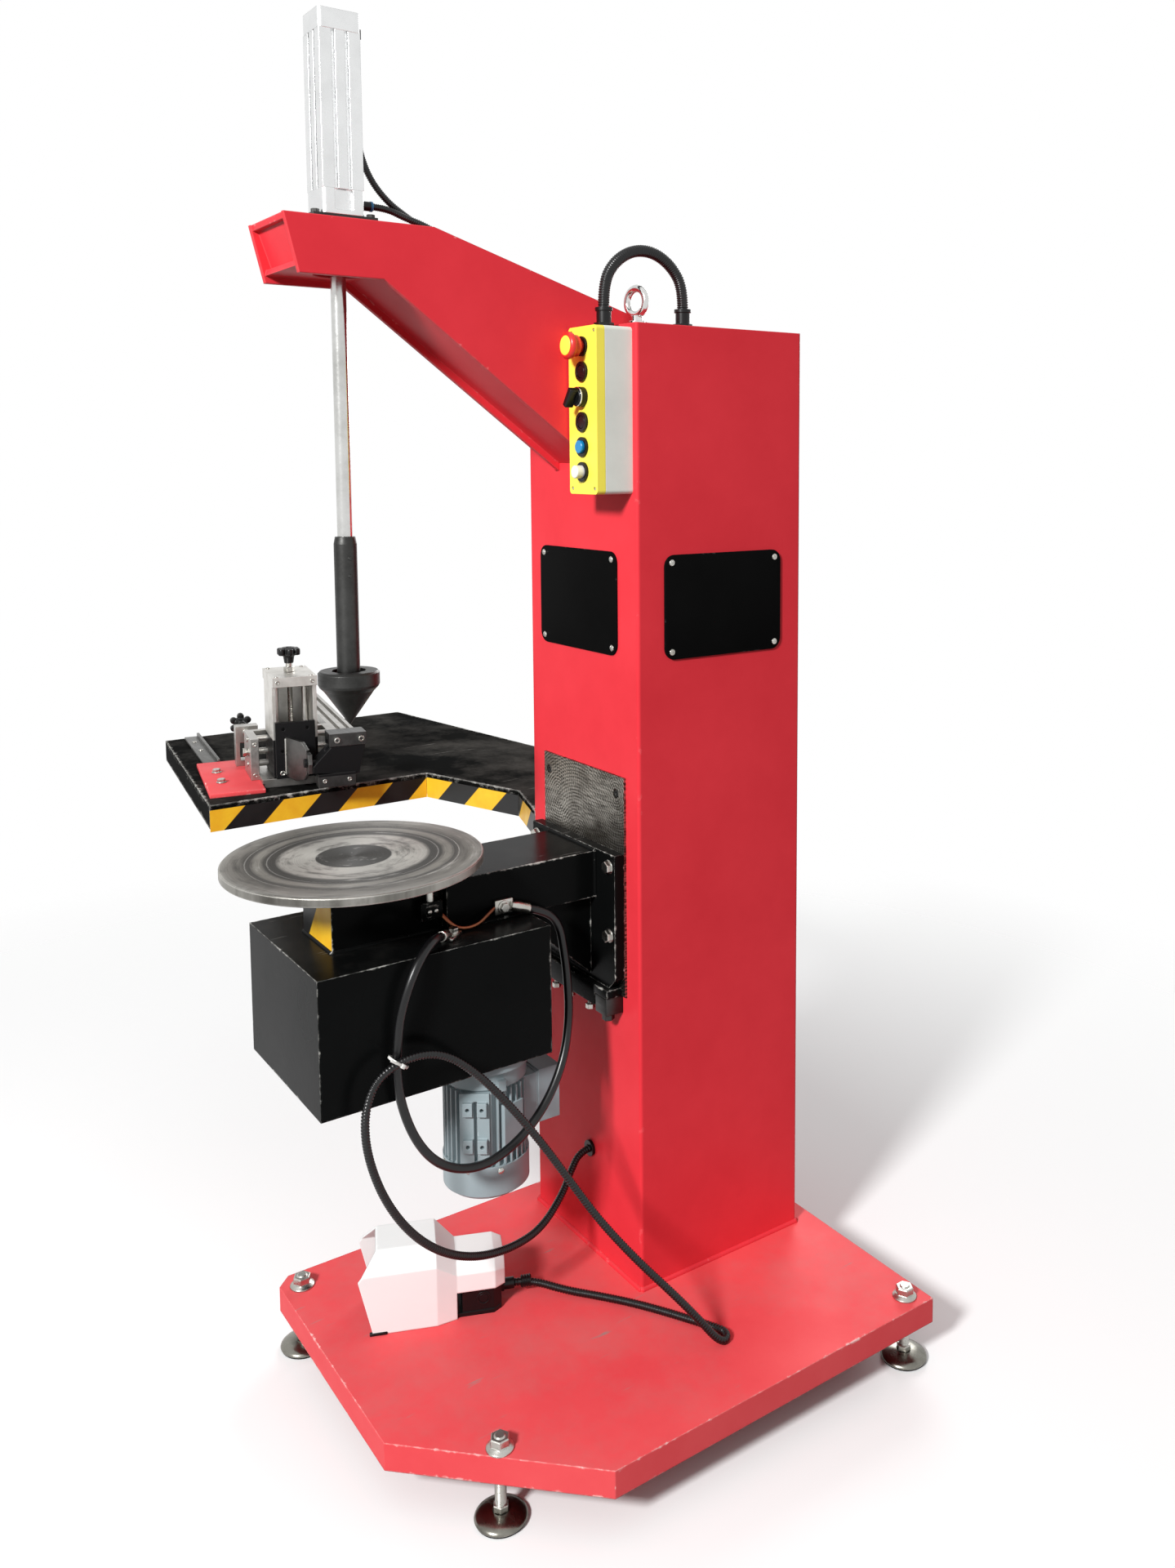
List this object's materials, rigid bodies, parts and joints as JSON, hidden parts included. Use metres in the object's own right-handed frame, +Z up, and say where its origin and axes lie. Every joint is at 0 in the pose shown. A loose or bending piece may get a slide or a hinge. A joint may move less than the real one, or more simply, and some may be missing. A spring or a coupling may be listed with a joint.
{
  "type": "welding turntable positioner",
  "caption": "Column-type welding positioner: driven turntable on a bracket, pneumatic tailstock with live centre on a goose-neck arm, and a side platform with a hand-set torch slide.",
  "frame": {"origin": "centre of the footprint of the whole object on the floor", "axes": "+Z up, -Y to the front where arm and turntable reach out, +X to the operator side with the control box, platform towards -X"},
  "size_m": [1.573, 0.9329, 2.001],
  "materials": {
    "red_paint": "semi-gloss enamel",
    "black_paint": "gloss enamel with chipped edges",
    "turned_steel": "turned with concentric marks",
    "zinc_steel": "bright zinc",
    "milled_steel": "face milled",
    "chrome": "polished",
    "aluminium": "satin",
    "black_oxide": "blackened",
    "motor_grey": "satin",
    "yellow_plastic": "moulded",
    "grey_plastic": "moulded",
    "black_plastic": "moulded",
    "red_plastic": "moulded",
    "blue_plastic": "moulded",
    "white_plastic": "moulded",
    "white_paint": "powder coat",
    "cord_black": "sheath",
    "copper": "tinned and bare copper",
    "belt_rubber": "moulded"
  },
  "bodies": {
    "frame": {"base_plate": "red_paint", "foot_pads": "zinc_steel", "foot_stems": "zinc_steel", "column": "red_paint", "arm": "red_paint", "eye_bolt": "chrome", "milled_plate": "milled_steel", "bracket": "black_paint", "bracket_bolts": "zinc_steel", "badge_plates": "black_paint", "spindle_housing": "black_paint", "spindle_bearings": "zinc_steel", "casing": "black_paint", "casing_floor": "black_paint", "gear_unit": "motor_grey", "drive_belt": "belt_rubber", "motor_frame": "motor_grey", "terminal_box": "motor_grey", "fan_cover": "motor_grey", "cylinder_flange": "black_oxide", "cylinder_barrel": "aluminium", "air_fittings": "black_plastic", "control_box": "grey_plastic", "control_lid": "yellow_plastic", "button_collars": "black_plastic", "contact_blocks": "black_plastic", "cable_glands": "black_plastic", "platform": "black_paint", "slide_base": "red_paint", "feed_block": "aluminium", "slide_rail": "aluminium", "pedal_base": "black_plastic", "pedal_hood": "white_paint", "earth_contact": "copper", "conduit_arch": "cord_black", "air_hoses": "cord_black", "earth_cable": "cord_black", "pedal_conduit": "cord_black", "cable_tie": "white_plastic"},
    "turntable": {"turntable": "turned_steel", "spindle": "turned_steel"},
    "drive_pulley": {"drive_pulley": "aluminium"},
    "rotor": {"motor_rotor": "turned_steel"},
    "tailstock": {"tailstock_rod": "chrome", "tailstock_sleeve": "black_oxide"},
    "centre": {"live_centre": "black_oxide"},
    "estop": {"estop_button": "red_plastic"},
    "black_upper": {"black_button_upper": "black_plastic"},
    "black_lower": {"black_button_lower": "black_plastic"},
    "blue": {"blue_button": "blue_plastic"},
    "white": {"white_button": "white_plastic"},
    "selector": {"selector": "black_plastic"},
    "treadle": {"pedal_treadle": "black_plastic"},
    "feed_slide": {"cross_frame": "aluminium"},
    "feed_screw": {"feed_screw": "black_plastic"},
    "cross_slide": {"cross_carriage": "aluminium"},
    "cross_screw": {"cross_screw": "zinc_steel"},
    "lift_slide": {"lift_carriage": "black_oxide"},
    "lift_screw": {"lift_screw": "black_plastic"},
    "clamp": {"torch_clamp": "black_oxide"}
  },
  "joints": [
    {"name": "table_turn", "type": "hinge", "parent": "frame", "child": "turntable", "pos_m": [0.3385, -0.2815, 0.834], "axis": [0, 0, 1], "continuous": true},
    {"name": "pulley_turn", "type": "hinge", "parent": "frame", "child": "drive_pulley", "pos_m": [0.4035, -0.1115, 0.616], "axis": [0, 0, 1], "continuous": true},
    {"name": "motor_turn", "type": "hinge", "parent": "frame", "child": "rotor", "pos_m": [0.4035, -0.1115, 0.441], "axis": [0, 0, 1], "continuous": true},
    {"name": "tailstock_stroke", "type": "slide", "parent": "frame", "child": "tailstock", "axis": [0, 0, 1], "range_m": [0, 0.18]},
    {"name": "centre_spin", "type": "hinge", "parent": "tailstock", "child": "centre", "pos_m": [0.3385, -0.2815, 1.081], "axis": [0, 0, 1], "continuous": true},
    {"name": "estop_push", "type": "slide", "parent": "frame", "child": "estop", "axis": [0, 1, 0], "range_m": [0, 0.006], "stiffness_N_per_m": 500, "springref_m": -0.004},
    {"name": "black_upper_push", "type": "slide", "parent": "frame", "child": "black_upper", "axis": [0, 1, 0], "range_m": [0, 0.003], "stiffness_N_per_m": 350, "springref_m": -0.004},
    {"name": "selector_turn", "type": "hinge", "parent": "frame", "child": "selector", "pos_m": [0.45, 0.044, 1.4928], "axis": [0, 1, 0], "range_deg": [-70, 0]},
    {"name": "black_lower_push", "type": "slide", "parent": "frame", "child": "black_lower", "axis": [0, 1, 0], "range_m": [0, 0.003], "stiffness_N_per_m": 350, "springref_m": -0.004},
    {"name": "blue_push", "type": "slide", "parent": "frame", "child": "blue", "axis": [0, 1, 0], "range_m": [0, 0.004], "stiffness_N_per_m": 350, "springref_m": -0.004},
    {"name": "white_push", "type": "slide", "parent": "frame", "child": "white", "axis": [0, 1, 0], "range_m": [0, 0.004], "stiffness_N_per_m": 350, "springref_m": -0.004},
    {"name": "treadle_press", "type": "hinge", "parent": "frame", "child": "treadle", "pos_m": [0.34488, -0.14383, 0.119], "axis": [0.9198, -0.3923, 0], "range_deg": [0, 6.5], "stiffness_Nm_per_rad": 1.2, "springref_deg": -20.05},
    {"name": "feed_travel", "type": "slide", "parent": "frame", "child": "feed_slide", "axis": [0.9816, -0.1908, 0], "range_m": [-0.03, 0.02]},
    {"name": "feed_screw_turn", "type": "hinge", "parent": "frame", "child": "feed_screw", "pos_m": [-0.432, -0.19103, 0.876], "axis": [0.9816, -0.1908, 0], "range_deg": [-1500, 2200]},
    {"name": "cross_travel", "type": "slide", "parent": "feed_slide", "child": "cross_slide", "axis": [0.1908, 0.9816, 0], "range_m": [-0.02, 0.02]},
    {"name": "cross_screw_turn", "type": "hinge", "parent": "feed_slide", "child": "cross_screw", "pos_m": [-0.31684, -0.14363, 0.855], "axis": [0.1908, 0.9816, 0], "range_deg": [-1500, 1500]},
    {"name": "lift_travel", "type": "slide", "parent": "cross_slide", "child": "lift_slide", "axis": [0, 0, 1], "range_m": [0, 0.06]},
    {"name": "lift_screw_turn", "type": "hinge", "parent": "cross_slide", "child": "lift_screw", "pos_m": [-0.29132, -0.14859, 0.991], "axis": [0, 0, 1], "range_deg": [-4400, 60]},
    {"name": "clamp_tilt", "type": "hinge", "parent": "lift_slide", "child": "clamp", "pos_m": [-0.17352, -0.17149, 0.856], "axis": [0.1908, 0.9816, 0], "range_deg": [-25, 25]}
  ],
  "couplings": [
    {"joint": "pulley_turn", "follows": "table_turn", "ratio": 2},
    {"joint": "motor_turn", "follows": "table_turn", "ratio": 20},
    {"joint": "feed_screw_turn", "follows": "feed_travel", "rad_per_m": -1256.6},
    {"joint": "cross_screw_turn", "follows": "cross_travel", "rad_per_m": -1256.6},
    {"joint": "lift_screw_turn", "follows": "lift_travel", "rad_per_m": -1256.6}
  ]
}
